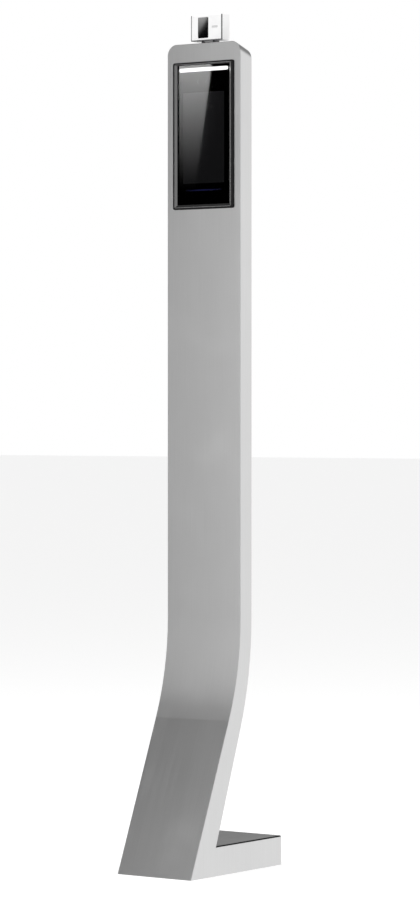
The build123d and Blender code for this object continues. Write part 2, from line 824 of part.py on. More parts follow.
# ---------------------------------------------------------------- service door and lock
def make_door():
    door = rounded_plate(
        2 * (opening_half - door_gap), door_top_z - door_low_z - 2 * door_gap, door_radius,
        rear_y - sheet, rear_y, door_z
    )
    width, height = vent_size
    for i in range(vent_count):
        z = door_top_z - vent_drop - vent_pitch * i
        door -= rounded_plate(width, height, height / 2 - 0.1, rear_y - sheet - 1, rear_y + 1, z)
    door -= rod_y(lock_x, lock_z, lock_body_radius + fit_gap, rear_y - sheet - 1, rear_y + 1)
    return door - group(rivet_holes(1))


def hinge_leaf(side, z):
    """One leaf: side -1 is fixed and has the outer knuckles, +1 is the door's middle knuckle."""
    clear = knuckle_radius + 2 * axial_gap
    low, high = z - hinge_height / 2, z + hinge_height / 2
    sixth = hinge_height / 6
    x0, x1 = sorted((hinge_x + side * clear, hinge_x + side * hinge_leaf_width))
    leaf = block(x0, x1, rear_y, rear_y + hinge_leaf_thickness, low, high)
    if side < 0:
        spans = [(low, z - sixth), (z + sixth, high)]
    else:
        spans = [(z - sixth + axial_gap, z + sixth - axial_gap)]
    for z0, z1 in spans:
        x0, x1 = sorted((hinge_x + side * 0.8, hinge_x + side * (clear + 0.5)))
        leaf += rod_z(hinge_x, hinge_y, knuckle_radius, z0, z1)
        leaf += block(x0, x1, rear_y + axial_gap, rear_y + hinge_leaf_thickness, z0, z1)
        bore = hinge_pin_radius + (running_clearance if side > 0 else 0.01)
        leaf -= rod_z(hinge_x, hinge_y, bore, z0 - 1, z1 + 1)
    return leaf - group(rivet_holes(side))


def make_hinge_pins():
    pins = []
    for z in hinge_centres:
        low, high = z - hinge_height / 2, z + hinge_height / 2
        pin = rod_z(hinge_x, hinge_y, hinge_pin_radius, low, high + 0.5)
        cap = rod_z(hinge_x, hinge_y, knuckle_radius - 0.2, high, high + 1)
        pins.append(pin + fillet(cap.edges().group_by(Axis.Z)[-1], 0.5))
    return group(pins)


def make_lock_barrel():
    barrel = rod_y(lock_x, lock_z, lock_flange_radius, rear_y, rear_y + 2)
    barrel = fillet(barrel.edges().group_by(Axis.Y)[-1], 0.8)
    barrel += rod_y(lock_x, lock_z, lock_body_radius, lock_end_y, rear_y)
    return barrel - rod_y(lock_x, lock_z, plug_radius + running_clearance, lock_end_y - 1, rear_y + 3)


def make_lock_nut():
    y1 = rear_y - sheet
    nut = plate_y(Pos(lock_x, lock_z) * RegularPolygon(12, 6), y1 - lock_nut_thickness, y1)
    return nut - rod_y(lock_x, lock_z, lock_body_radius + 0.02, rear_y - 10, rear_y)


cam_y1 = lock_end_y - axial_gap
cam_y0 = cam_y1 - cam_thickness
square_half = 3.0           # square end of the plug that turns the cam


def make_lock_plug():
    plug = rod_y(lock_x, lock_z, plug_radius, cam_y1, rear_y + 1.8)
    plug -= block(lock_x - 0.8, lock_x + 0.8, rear_y - 3, rear_y + 3, lock_z - 3.2, lock_z + 3.2)
    square = rounded_plate(2 * square_half, 2 * square_half, 0.2, cam_y0 + 0.1, cam_y1, lock_z, lock_x)
    plug += square
    return plug - rod_y(lock_x, lock_z, 2.0, cam_y0 - 1, cam_y1 + 1.6)


def make_lock_cam():
    """The cam hangs down at rest, which is the unlocked state."""
    outline = Pos(lock_x, lock_z) * Circle(7)
    outline += Pos(lock_x, lock_z - cam_length + 5) * Circle(5)
    outline += Pos(lock_x, lock_z - (cam_length - 5) / 2) * Rectangle(10, cam_length - 5)
    cam = plate_y(outline, cam_y0, cam_y1)
    width = 2 * (square_half + 0.05)
    return cam - Pos(lock_x, cam_y0, lock_z) * Box(width, 4 * cam_thickness, width)


def make_door_keeper():
    x0 = opening_half + door_gap
    keeper = block(x0, inner_half, lock_end_y, rear_y - sheet, lock_z - 10, lock_z + 10)
    return chamfer(keeper.edges().filter_by(Axis.Z).group_by(Axis.Y)[0].sort_by(Axis.X)[0], 1.0)


nodes["service_door"] = make_door()
nodes["hinge_fixed_leaves"] = group([hinge_leaf(-1, z) for z in hinge_centres])
nodes["hinge_door_leaves"] = group([hinge_leaf(1, z) for z in hinge_centres])
nodes["hinge_pins"] = make_hinge_pins()
nodes["hinge_rivets_fixed"] = group(rivets(-1))
nodes["hinge_rivets_door"] = group(rivets(1))
nodes["lock_barrel"] = make_lock_barrel()
nodes["lock_nut"] = make_lock_nut()
nodes["lock_plug"] = make_lock_plug()
nodes["lock_cam"] = make_lock_cam()
cam_screw = screw(3.8, 2.2, 1.98, cam_thickness + 1.2)
nodes["lock_cam_screw"] = Pos(lock_x, cam_y0, lock_z) * Rot(90, 0, 0) * cam_screw
nodes["door_keeper"] = make_door_keeper()


# ---------------------------------------------------------------- temperature sensor module
half_head = head_width / 2
window_z = head_top_z - window_drop - window_size[1] / 2
sensor_board_y = face_back_y + 5.0
sensor_board_low = pivot_z + ear_radius + 3.5
sensor_post_places = [(x, head_top_z - 6.0) for x in (-17.0, 17.0)]


def make_sensor_trim():
    """Dark line round the face, open at the top."""
    trim = block(-half_head, half_head, head_y, face_back_y, head_low_z, head_top_z)
    inner = half_head - trim_width
    low = head_low_z + trim_width
    return trim - block(-inner, inner, head_y - 1, face_back_y + 1, low, head_top_z + 1)


def make_sensor_face():
    inner = half_head - trim_width
    face = block(-inner, inner, head_y, face_back_y, head_low_z + trim_width, head_top_z)
    face = fillet(face.edges().group_by(Axis.Z)[-1].sort_by(Axis.Y)[0], 1.0)
    width, height = window_size
    return face - rounded_plate(
        width, height, window_radius, head_y - 1, face_back_y + 1, window_z, window_centre_x
    )


def make_sensor_window():
    width, height = window_size
    return rounded_plate(
        width - 2 * fit_gap, height - 2 * fit_gap, window_radius - fit_gap,
        head_y - 0.1, face_back_y, window_z, window_centre_x
    )


def make_sensor_shell():
    shell = block(-half_head, half_head, face_back_y, head_back_y, head_low_z, head_top_z)
    shell = fillet(shell.edges().group_by(Axis.Y)[-1], head_edge_radius)
    inner = half_head - head_wall
    floor_z = head_low_z + head_wall
    shell -= block(
        -inner, inner, face_back_y - 1, head_back_y - head_wall, floor_z, head_top_z - head_wall
    )
    slot_end = ear_end + axial_gap
    tongue_half = tongue_width / 2
    slot = block(tongue_half, slot_end, pivot_y - 8, pivot_y + 8, head_low_z - 1, floor_z + 1)
    shell -= group(mirrored(slot))
    shell += rod_x(pivot_y, pivot_z, tongue_radius, -tongue_half, tongue_half)
    shell -= rod_x(pivot_y, pivot_z, tilt_pin_radius + running_clearance, -ear_end, ear_end)
    for x, z in sensor_post_places:
        shell += rod_y(x, z, 2.0, sensor_board_y + 1.2, head_back_y - 1)
        shell -= rod_y(x, z, 1.0, sensor_board_y - 1, head_back_y + 1)
    return shell


def make_tilt_bracket():
    base, stud, hole = on_top(
        block(-ear_end, ear_end, -bracket_depth / 2, bracket_depth / 2, 0, bracket_base),
        rod_z(stud_places()[1], 0, tilt_pin_radius, -sheet - stud_reach, 0),
        rod_z(0, 0, cable_pass_radius, -1, bracket_base + 1),
    )
    front_side, rear_side = pivot_y - ear_radius, pivot_y + ear_radius
    ear = side_plate(chain(
        (front_side, column_height - fall(front_side)),
        (rear_side, column_height - fall(rear_side)),
        (rear_side, pivot_z),
        (front_side, pivot_z),
        (front_side, column_height - fall(front_side)),
    ), ear_start, ear_end)
    ear += rod_x(pivot_y, pivot_z, ear_radius, ear_start, ear_end) + stud
    bracket = base + ear + mirror(ear, Plane.YZ)
    bracket -= rod_x(pivot_y, pivot_z, tilt_pin_radius + 0.01, -ear_end - 1, ear_end + 1)
    return bracket - hole


def make_bracket_nuts():
    top = -sheet * cos(radians(top_slope))
    nuts = []
    for x in stud_places():
        nut = Pos(x, 0, top - nut_height) * extrude(RegularPolygon(3.2, 6), nut_height)
        nuts.append(nut - rod_z(x, 0, tilt_pin_radius + 0.02, top - 2 * nut_height, top + 1))
    return group(on_top(*nuts))


def make_washers():
    x0 = tongue_width / 2 + fit_gap
    washer = rod_x(pivot_y, pivot_z, ear_radius - 0.5, x0, x0 + washer_thickness)
    washer -= rod_x(pivot_y, pivot_z, tilt_pin_radius + 0.02, x0 - 1, x0 + 2)
    return group(mirrored(washer))


def make_sensor_board():
    board = block(-20, 20, sensor_board_y, sensor_board_y + 1.2, sensor_board_low, head_top_z - 2.5)
    for x, z in sensor_post_places:
        board -= rod_y(x, z, 1.0, sensor_board_y - 1, sensor_board_y + 3)
    return board


def make_thermal_sensor():
    can = rod_y(window_centre_x, window_z + 2, 4.5, face_back_y + 0.3, sensor_board_y)
    return can - rod_y(window_centre_x, window_z + 2, 2.6, face_back_y - 1, face_back_y + 1.3)


def make_sensor_cable():
    """Lead from the terminal up to just under the tongue of the tilt hinge."""
    case_top_z = bezel_top_z - case_inset
    cable = rod_z(0, pivot_y, sensor_cable_radius, case_top_z, pivot_z - tongue_radius - 0.5)
    plug = block(-5, 5, pivot_y - 3, pivot_y + 3, case_top_z, bezel_top_z + 5)
    return cable + plug


nodes["sensor_trim"] = make_sensor_trim()
nodes["sensor_front_cover"] = make_sensor_face()
nodes["sensor_window"] = make_sensor_window()
nodes["sensor_shell"] = make_sensor_shell()
nodes["sensor_board"] = make_sensor_board()
nodes["thermal_sensor"] = make_thermal_sensor()
nodes["sensor_case_screws"] = rear_screws(
    sensor_post_places, head_back_y - sensor_board_y + 0.5, 0.95, 1.8, head_back_y
)
nodes["tilt_bracket"] = make_tilt_bracket()
nodes["bracket_nuts"] = make_bracket_nuts()
nodes["tilt_pin"] = rod_x(pivot_y, pivot_z, tilt_pin_radius, -ear_end, ear_end)
nodes["tilt_washers"] = make_washers()
nodes["sensor_cable"] = make_sensor_cable()


# ---------------------------------------------------------------- one file for each node
os.makedirs("parts", exist_ok=True)
for name, solid in nodes.items():
    export_step(solid, f"parts/{name}.step")
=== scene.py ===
import json
from math import cos, pi, radians, sin

import bmesh
import bpy
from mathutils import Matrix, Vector


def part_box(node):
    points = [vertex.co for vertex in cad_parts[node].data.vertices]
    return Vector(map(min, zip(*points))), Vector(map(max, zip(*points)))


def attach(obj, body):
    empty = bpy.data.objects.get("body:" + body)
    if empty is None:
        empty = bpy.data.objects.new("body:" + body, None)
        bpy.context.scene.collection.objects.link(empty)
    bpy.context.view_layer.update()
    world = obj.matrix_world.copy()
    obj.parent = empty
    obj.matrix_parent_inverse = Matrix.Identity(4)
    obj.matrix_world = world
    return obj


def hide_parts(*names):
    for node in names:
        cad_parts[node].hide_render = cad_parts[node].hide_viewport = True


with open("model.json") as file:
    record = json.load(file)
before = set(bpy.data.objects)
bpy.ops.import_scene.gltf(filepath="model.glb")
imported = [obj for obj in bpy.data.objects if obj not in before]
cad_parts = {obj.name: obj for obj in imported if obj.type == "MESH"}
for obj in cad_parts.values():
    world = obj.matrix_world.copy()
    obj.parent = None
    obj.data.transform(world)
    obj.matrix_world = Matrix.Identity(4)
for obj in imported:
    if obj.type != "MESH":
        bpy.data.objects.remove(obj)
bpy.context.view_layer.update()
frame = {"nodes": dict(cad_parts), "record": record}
nodes = frame["nodes"]

# Looks of the face recognition terminal stand. Metres. X right seen from the front, -Y forward, Z up.
MM = 0.001

# ---------------------------------------------------------------- places read from the frame
glass_low, glass_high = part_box("cover_glass")
display_low, display_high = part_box("display_panel")
bar_low, bar_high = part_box("light_bar")
status_low, status_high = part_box("status_light")
lens_low, lens_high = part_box("camera_lenses")
face_low, face_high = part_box("sensor_front_cover")
window_low, window_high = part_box("sensor_window")

# ---------------------------------------------------------------- camera
CAMERA_BEARING = radians(35.73)     # to the right of the front, seen from the foot's centre
CAMERA_DISTANCE = 5.193
CAMERA_HEIGHT = 0.6622
CAMERA_YAW = radians(35.5796)
CAMERA_PITCH = radians(-0.5637)
LENS_MM = 143.64
SENSOR_MM = 36.0
CLIP_END = 200.0

camera_place = Vector((
    CAMERA_DISTANCE * sin(CAMERA_BEARING),
    -CAMERA_DISTANCE * cos(CAMERA_BEARING),
    CAMERA_HEIGHT,
))


def make_camera():
    data = bpy.data.cameras.new("camera")
    data.lens = LENS_MM
    data.sensor_width = SENSOR_MM
    data.clip_end = CLIP_END
    camera = bpy.data.objects.new("camera", data)
    camera.location = camera_place
    camera.rotation_euler = (pi / 2 + CAMERA_PITCH, 0.0, CAMERA_YAW)
    bpy.context.scene.collection.objects.link(camera)
    bpy.context.scene.camera = camera


# ---------------------------------------------------------------- node graph helpers
class Graph:
    """Adds nodes to a material or world and links them."""

    def __init__(self, owner):
        owner.use_nodes = True
        self.tree = owner.node_tree
        self.tree.nodes.clear()

    def add(self, kind, inputs=None, **settings):
        node = self.tree.nodes.new(kind)
        for key, value in settings.items():
            setattr(node, key, value)
        for key, value in (inputs or {}).items():
            self.feed(node.inputs[key], value)
        return node

    def feed(self, socket, value):
        if isinstance(value, bpy.types.NodeSocket):
            self.tree.links.new(value, socket)
        elif hasattr(socket.default_value, "__len__") and not hasattr(value, "__len__"):
            socket.default_value = [value, value, value, 1.0][:len(socket.default_value)]
        else:
            socket.default_value = value

    def math(self, operation, a, b=0.0, c=0.0):
        return self.add("ShaderNodeMath", {0: a, 1: b, 2: c}, operation=operation).outputs[0]

    def vary(self, base, noise, amount):
        """base, raised and lowered by up to half the amount where the noise is high and low."""
        return self.math("MULTIPLY_ADD", self.math("SUBTRACT", noise, 0.5), amount, base)

    def span(self, value, low, high, to_low=0.0, to_high=1.0, smooth=True):
        """Maps low..high to to_low..to_high, held at the ends."""
        node = self.add(
            "ShaderNodeMapRange",
            {"Value": value, "From Min": low, "From Max": high, "To Min": to_low, "To Max": to_high},
            interpolation_type="SMOOTHSTEP" if smooth else "LINEAR",
        )
        return node.outputs["Result"]

    def split(self, vector):
        return self.add("ShaderNodeSeparateXYZ", {"Vector": vector}).outputs

    def coordinates(self):
        """The point in the part's frame, in metres."""
        return self.add("ShaderNodeTexCoord").outputs["Object"]

    def axes(self):
        return self.split(self.coordinates())

    def facing(self):
        return self.add("ShaderNodeNewGeometry").outputs["Normal"]

    def turned(self, axis):
        """How far the surface faces along an axis, from 0 to 1, either way."""
        return self.math("ABSOLUTE", self.split(self.facing())[axis])

    def place(self, stretch):
        """The point in the part's frame, scaled along each axis."""
        node = self.add("ShaderNodeMapping", {"Vector": self.coordinates(), "Scale": stretch})
        return node.outputs["Vector"]

    def noise(self, cells, detail=2.0, roughness=0.5):
        """Noise with this many cells per metre, the same every way or one number per axis."""
        stretch = cells if isinstance(cells, tuple) else (cells,) * 3
        node = self.add(
            "ShaderNodeTexNoise",
            {"Vector": self.place(stretch), "Scale": 1.0, "Detail": detail, "Roughness": roughness},
        )
        return node.outputs["Fac"]

    def mix(self, factor, a, b):
        node = self.add("ShaderNodeMix", data_type="RGBA")
        self.feed(node.inputs["Factor"], factor)
        self.feed(node.inputs[6], a)
        self.feed(node.inputs[7], b)
        return node.outputs[2]

    def grey(self, value):
        return self.add("ShaderNodeCombineColor", {0: value, 1: value, 2: value}).outputs[0]

    def bump(self, height, strength, distance):
        node = self.add("ShaderNodeBump", {"Height": height, "Strength": strength, "Distance": distance})
        return node.outputs["Normal"]


def finish_of(name, color, roughness, metallic=0.0, normal=None, tangent=None, **sockets):
    """A Principled material. Each socket's value is plain or a function of the material's graph."""
    material = bpy.data.materials.new(name)
    graph = Graph(material)
    wanted = {"Base Color": color, "Roughness": roughness, "Normal": normal, "Tangent": tangent, **sockets}
    inputs = {"Metallic": metallic}
    for key, value in wanted.items():
        if value is not None:
            inputs[key] = value(graph) if callable(value) else value
    shader = graph.add("ShaderNodeBsdfPrincipled", inputs)
    output = graph.add("ShaderNodeOutputMaterial", {"Surface": shader.outputs["BSDF"]})
    output.is_active_output = True
    return material


def uneven(low, high, cells=40.0):
    """A roughness that wanders between low and high."""
    return lambda g: g.span(g.noise(cells), 0.0, 1.0, low, high)


# ---------------------------------------------------------------- finishes
GRAIN_FINE = 2600.0         # brush lines per metre across the grain
GRAIN_WIDE = 320.0
GRAIN_ALONG = 9.0           # and along it
STREAK_TONE = 0.16          # how far the brush lines change the tone, as a share of it
BLOTCH_TONE = 0.05          # and the blotches
STREAK_ROUGHNESS = 0.08     # how far the brush lines change the roughness
SMUDGE_ROUGHNESS = 0.035    # and what a smudge adds to it
X_AXIS, Y_AXIS, Z_AXIS = range(3)


def stretched(per_metre, *along):
    """Noise cells per metre that are drawn out along the named axes."""
    return tuple(GRAIN_ALONG if i in along else per_metre for i in range(3))


def grain(g, per_metre, axis, detail, roughness):
    """Noise drawn out along the grain. Upright grain follows a sheet that bends forward or back."""
    if axis != Z_AXIS:
        return g.noise(stretched(per_metre, axis), detail, roughness)
    forward = g.noise(stretched(per_metre, Y_AXIS, Z_AXIS), detail, roughness)
    sideways = g.noise(stretched(per_metre, X_AXIS, Z_AXIS), detail, roughness)
    share = g.span(g.turned("X"), 0.6, 0.8)
    return g.math("MULTIPLY_ADD", g.math("SUBTRACT", sideways, forward), share, forward)


def brushed(name, tone, roughness, axis, anisotropy=0.55, painted_shade_share=1.0):
    """Brushed metal with the grain along one axis, faint blotches and slight smudges.

    Its share argument paints shade: faces that look up or down keep only that share of the tone.
    """

    def color(g):
        value = g.vary(tone, grain(g, GRAIN_FINE, axis, 3.0, 0.6), STREAK_TONE * tone)
        value = g.vary(value, g.noise(9.0, 3.0), BLOTCH_TONE * tone)
        # painted shade: faces that look up or down are darkened
        if painted_shade_share < 1.0:
            value = g.math("MULTIPLY", value, g.span(g.turned("Z"), 0.2, 0.5, 1.0, painted_shade_share))
        return g.grey(value)

    def rough(g):
        streaks = g.vary(roughness, grain(g, GRAIN_WIDE, axis, 4.0, 0.6), STREAK_ROUGHNESS)
        smudges = g.span(g.noise(14.0, 4.0, 0.6), 0.5, 0.75)
        return g.math("MULTIPLY_ADD", smudges, SMUDGE_ROUGHNESS, streaks)

    def normal(g):
        return g.bump(grain(g, GRAIN_FINE, axis, 3.0, 0.7), 0.35, 0.02 * MM)

    def tangent(g):
        along = tuple(1.0 if i == axis else 0.0 for i in range(3))
        across = g.add("ShaderNodeVectorMath", {0: g.facing(), 1: along}, operation="CROSS_PRODUCT")
        return across.outputs[0]

    return finish_of(name, color, rough, metallic=1.0, normal=normal, tangent=tangent, Anisotropic=anisotropy)


def rolled(name, tone, roughness):
    """Zinc plated or machined metal with a soft mottled surface."""
    return finish_of(
        name,
        lambda g: g.grey(g.vary(tone, g.noise(160.0), 0.14)),
        lambda g: g.vary(roughness, g.noise(45.0, 3.0), 0.2),
        metallic=1.0,
        normal=lambda g: g.bump(g.noise(900.0), 0.2, 0.02 * MM),
    )


def moulded(name, rgb, roughness, texture=1800.0, depth=0.03 * MM, **sockets):
    """Moulded plastic or rubber with a fine spark texture and faint handling marks."""

    def color(g):
        dark = tuple(c * 0.93 for c in rgb)
        return g.mix(g.span(g.noise(30.0, 3.0), 0.35, 0.65), (*dark, 1.0), (*rgb, 1.0))

    return finish_of(
        name,
        color,
        lambda g: g.vary(roughness, g.noise(60.0, 4.0, 0.6), 0.14),
        normal=lambda g: g.bump(g.noise(texture), 0.25, depth),
        **sockets,
    )


def circuit_board():
    """Green solder mask with a faint pattern of tracks."""

    def color(g):
        tracks = g.add("ShaderNodeTexBrick", {
            "Vector": g.place((260.0, 260.0, 260.0)), "Scale": 1.0, "Mortar Size": 0.08,
            "Color1": (0.015, 0.16, 0.06, 1), "Color2": (0.012, 0.13, 0.05, 1),
            "Mortar": (0.05, 0.3, 0.12, 1),
        })
        return tracks.outputs["Color"]

    return finish_of(
        "circuit_board", color, uneven(0.3, 0.5, 80.0),
        normal=lambda g: g.bump(g.noise(500.0), 0.2, 0.03 * MM),
    )


def display_finish():
    """The unlit panel: dark grey with a fine cell pattern and a faint glow, painted light that lifts its
    tone.
    """
    return finish_of(
        "display_dark",
        lambda g: g.grey(g.span(g.noise(3000.0, 1.0), 0.3, 0.7, 0.0080, 0.0100)),
        uneven(0.05, 0.08),
        # painted light: the faint emission lifts the unlit panel's dark grey
        **{"Specular IOR Level": 0.5, "Emission Color": (0.9, 0.92, 1.0, 1.0), "Emission Strength": 0.017},
    )


def light_bar_finish():
    """The lit diffuser, a little dimmer at its ends."""
    half = (bar_high.x - bar_low.x) / 2

    def glow(g):
        ends = g.span(g.math("ABSOLUTE", g.axes()["X"]), half * 0.9, half, 1.0, 0.8)
        return g.grey(g.math("MULTIPLY_ADD", g.noise(300.0), 0.04, ends))

    return finish_of(
        "light_bar_lit", glow, uneven(0.4, 0.5, 200.0),
        **{"Emission Color": (1.0, 1.0, 1.0, 1.0), "Emission Strength": 4.0},
    )


def status_finish():
    """The blue line: brightest in the middle and fading to both ends."""
    middle = (status_low + status_high) / 2
    half = (status_high.x - status_low.x) / 2
    tall = (status_high.z - status_low.z) / 2

    def glow(g):
        axes = g.axes()
        x = g.math("ABSOLUTE", g.math("SUBTRACT", axes["X"], middle.x))
        z = g.math("ABSOLUTE", g.math("SUBTRACT", axes["Z"], middle.z))
        along = g.span(x, 0.0, half, 1.0, 0.05)
        across = g.span(z, tall * 0.2, tall, 1.0, 0.25)
        return g.mix(g.math("MULTIPLY", along, across), (0.0, 0.0, 0.002, 1), (0.10, 0.11, 0.75, 1))

    return finish_of(
        "status_blue_lit", (0.01, 0.012, 0.06, 1), uneven(0.3, 0.4, 200.0),
        **{"Emission Color": glow, "Emission Strength": 0.16},
    )


GLASS_COVER = 0.45           # share of the pane that tints and reflects, the rest is clear


def tinted_glass():
    """Smooth black tinted glass: a clear pane with a dark reflecting coat and faint smears."""
    return finish_of(
        "tinted_glass", (0.0, 0.0, 0.0, 1),
        lambda g: g.span(g.noise(25.0, 3.0), 0.45, 0.8, 0.015, 0.04),
        **{"Alpha": GLASS_COVER, "IOR": 1.5},
    )


def make_finishes():
    """One finish for each of the record's material slots."""
    return {
        "brushed_stainless": brushed("brushed_stainless", 0.60, 0.30, Z_AXIS),
        # the foot's lid: the same brushed steel with its tone lowered, painted shade for its upward face
        "cover_plate": brushed("cover_plate_shaded_steel", 0.245, 0.34, Y_AXIS),
        "zinc_plate": rolled("zinc_plate", 0.52, 0.42),
        "fastener": rolled("fastener_zinc", 0.55, 0.30),
        "black_rubber": moulded(
            "black_rubber", (0.010, 0.010, 0.011), 0.78, 1400.0, 0.05 * MM, **{"Specular IOR Level": 0.25}
        ),
        # the bezel's top and bottom bars get painted shade
        "bezel_metal": brushed("bezel_anodised_painted_shade", 0.42, 0.24, Z_AXIS, anisotropy=0.0, painted_shade_share=0.17),
        "black_glass": tinted_glass(),
        "display": display_finish(),
        "light_diffuser": light_bar_finish(),
        "status_blue": status_finish(),
        "lens": moulded("lens_coated", (0.02, 0.02, 0.035), 0.08, 3000.0, 0.005 * MM),
        "black_plastic": moulded("black_plastic", (0.018, 0.018, 0.019), 0.5),
        "dark_plastic": moulded("dark_plastic", (0.06, 0.06, 0.065), 0.48),
        "white_plastic": moulded("white_plastic", (0.90, 0.90, 0.90), 0.38, 1500.0, 0.02 * MM),
        "sensor_window": finish_of("sensor_window_black", (0.0015, 0.0015, 0.0017, 1), uneven(0.02, 0.05)),
        "circuit_board": circuit_board(),
        "lock_chrome": rolled("lock_chrome", 0.72, 0.12),
        "red_plastic": moulded("red_plastic", (0.45, 0.02, 0.02), 0.38),
    }


def dress_nodes():
    """Gives each CAD node the finish of its material slot."""
    finishes = make_finishes()
    for part in frame["record"]["subparts"]:
        for slot in nodes[part["node"]].material_slots:
            slot.material = finishes[part["material_slot"]]
    return finishes


# ---------------------------------------------------------------- new pieces
CORNER_STEPS = 8             # straight steps in a rounded corner
CIRCLE_STEPS = 48


def rounded_outline(low_x, high_x, low_z, high_z, radius):
    """Points (x, z) of a rounded rectangle, counter-clockwise."""
    corners = (
        (high_x - radius, high_z - radius, 0.0),
        (low_x + radius, high_z - radius, pi / 2),
        (low_x + radius, low_z + radius, pi),
        (high_x - radius, low_z + radius, 3 * pi / 2),
    )
    points = []
    for x, z, start in corners:
        for step in range(CORNER_STEPS + 1):
            angle = start + step * pi / 2 / CORNER_STEPS
            points.append((x + radius * cos(angle), z + radius * sin(angle)))
    return points


def inset_outline(low, high, inset, radius):
    """The rounded outline of a box seen from the front, drawn in by inset on every side."""
    return rounded_outline(low.x + inset, high.x - inset, low.z + inset, high.z - inset, radius)


def round_outline(x, z, radius):
    turns = [2 * pi * i / CIRCLE_STEPS for i in range(CIRCLE_STEPS)]
    return [(x + radius * cos(turn), z + radius * sin(turn)) for turn in turns]


def cut_plate(name, outlines, y_front, y_back):
    """A flat plate that faces the front: the first outline is its edge, the others are holes."""
    curve = bpy.data.curves.new(name + "_outline", "CURVE")
    curve.dimensions = "2D"
    curve.fill_mode = "BOTH"
    curve.extrude = (y_back - y_front) / 2
    for outline in outlines:
        spline = curve.splines.new("POLY")
        spline.points.add(len(outline) - 1)
        for point, (x, z) in zip(spline.points, outline):
            point.co = (x, z, 0.0, 1.0)
        spline.use_cyclic_u = True
    source = bpy.data.objects.new(name + "_outline", curve)
    mesh = bpy.data.meshes.new_from_object(source)
    bpy.data.objects.remove(source)
    bpy.data.curves.remove(curve)
    middle = (y_front + y_back) / 2
    for vertex in mesh.vertices:
        x, z, depth = vertex.co
        vertex.co = (x, middle - depth, z)
    return add_piece(name, mesh)


WELD_DISTANCE = 0.001 * MM


def add_piece(name, mesh):
    """Puts a mesh in the scene with its doubled points joined and its faces turned outward."""
    clean = bmesh.new()
    clean.from_mesh(mesh)
    bmesh.ops.remove_doubles(clean, verts=clean.verts, dist=WELD_DISTANCE)
    bmesh.ops.recalc_face_normals(clean, faces=clean.faces)
    clean.to_mesh(mesh)
    clean.free()
    piece = bpy.data.objects.new(name, mesh)
    bpy.context.scene.collection.objects.link(piece)
    return piece


EDGE_STEPS = 3               # faces across a rounded edge
EDGE_ANGLE = radians(50)     # edges that turn more than this are rounded


def finish_piece(piece, material, body, edge=0.0):
    """Gives a piece its material and body, and rounds its sharp edges."""
    piece.data.materials.clear()
    piece.data.materials.append(material)
    if edge:
        bevel = piece.modifiers.new("edges", "BEVEL")
        bevel.width = edge
        bevel.segments = EDGE_STEPS
        bevel.limit_method = "ANGLE"
        bevel.angle_limit = EDGE_ANGLE
        bevel.harden_normals = True
    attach(piece, body)
    return piece


PANE_CORNER = 1.0 * MM
PANE_EDGE = 0.15 * MM
PRINT_GAP = 0.02 * MM        # print and glass stay apart by a hair
PRINT_THICKNESS = 0.02 * MM
PRINT_INSET = 0.3 * MM       # print back from the edge of the glass
BAR_INSET = 0.5 * MM         # the print covers this much of each lit or clear part's rim
BAR_CORNER_INSET = 0.6 * MM
DISPLAY_INSET = 1.0 * MM
DISPLAY_CORNER = 0.6 * MM
STATUS_CORNER = 0.9 * MM
LENS_CLEARANCE = 0.6 * MM    # clear print round a lens
RING_OUTSIDE = 0.55 * MM     # grey ring out from and in from the lens's edge
RING_INSIDE = 0.6 * MM
pane_back = glass_high.y - PRINT_THICKNESS - 2 * PRINT_GAP
lens_radius = (lens_high.z - lens_low.z) / 2
lens_z = (lens_low.z + lens_high.z) / 2
lens_places = (("left", lens_low.x + lens_radius), ("right", lens_high.x - lens_radius))


def make_pane(finishes):
    """The tinted pane, shown in place of the CAD glass."""
    edge = inset_outline(glass_low, glass_high, 0.0, PANE_CORNER)
    pane = cut_plate("terminal_glass_pane", [edge], glass_low.y, pane_back)
    finish_piece(pane, finishes["black_glass"], "stand", edge=PANE_EDGE)
    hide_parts("cover_glass")
    return pane


def make_back_print():
    """The black print on the pane's back, with clear windows for what lies behind."""
    bar_radius = (bar_high.z - bar_low.z) / 2 - BAR_CORNER_INSET
    windows = [
        inset_outline(bar_low, bar_high, BAR_INSET, bar_radius),
        inset_outline(display_low, display_high, DISPLAY_INSET, DISPLAY_CORNER),
        inset_outline(status_low, status_high, 0.0, STATUS_CORNER),
    ]
    windows += [round_outline(x, lens_z, lens_radius + LENS_CLEARANCE) for _, x in lens_places]
    edge = inset_outline(glass_low, glass_high, PRINT_INSET, PANE_CORNER)
    front = pane_back + PRINT_GAP
    back_print = cut_plate("glass_back_print", [edge] + windows, front, front + PRINT_THICKNESS)
    ink = moulded("black_ink", (0.0006, 0.0006, 0.0007), 0.6, **{"Specular IOR Level": 0.0})
    finish_piece(back_print, ink, "stand")


def make_lens_rings():
    """A grey ring round each camera lens, behind the glass."""
    ring_finish = moulded("lens_ring_grey", (0.16, 0.16, 0.16), 0.5)
    for side, x in lens_places:
        rim = [round_outline(x, lens_z, lens_radius + out) for out in (RING_OUTSIDE, -RING_INSIDE)]
        ring = cut_plate("lens_ring_" + side, rim, pane_back + 4 * PRINT_GAP, pane_back + 6 * PRINT_GAP)
        finish_piece(ring, ring_finish, "stand")


MARK_HALF_WIDTH = 5.4 * MM
MARK_HALF_HEIGHT = 1.6 * MM
MARK_CORNER = 1.5 * MM
MARK_RISE = 0.5 * MM         # above the middle of the window
MARK_FRONT = 0.02 * MM       # front and back of the print, ahead of the face
MARK_BACK = 0.005 * MM


def make_sensor_mark():
    """A plain pale bar printed on the sensor's face, beside the window."""
    x = (window_high.x + face_high.x) / 2
    z = (window_low.z + window_high.z) / 2 + MARK_RISE
    outline = rounded_outline(
        x - MARK_HALF_WIDTH, x + MARK_HALF_WIDTH, z - MARK_HALF_HEIGHT, z + MARK_HALF_HEIGHT, MARK_CORNER
    )
    mark = cut_plate("sensor_face_mark", [outline], face_low.y - MARK_FRONT, face_low.y - MARK_BACK)
    grey = moulded("pale_grey_print", (0.62, 0.62, 0.62), 0.5, **{"Specular IOR Level": 0.2})
    finish_piece(mark, grey, "sensor_head")


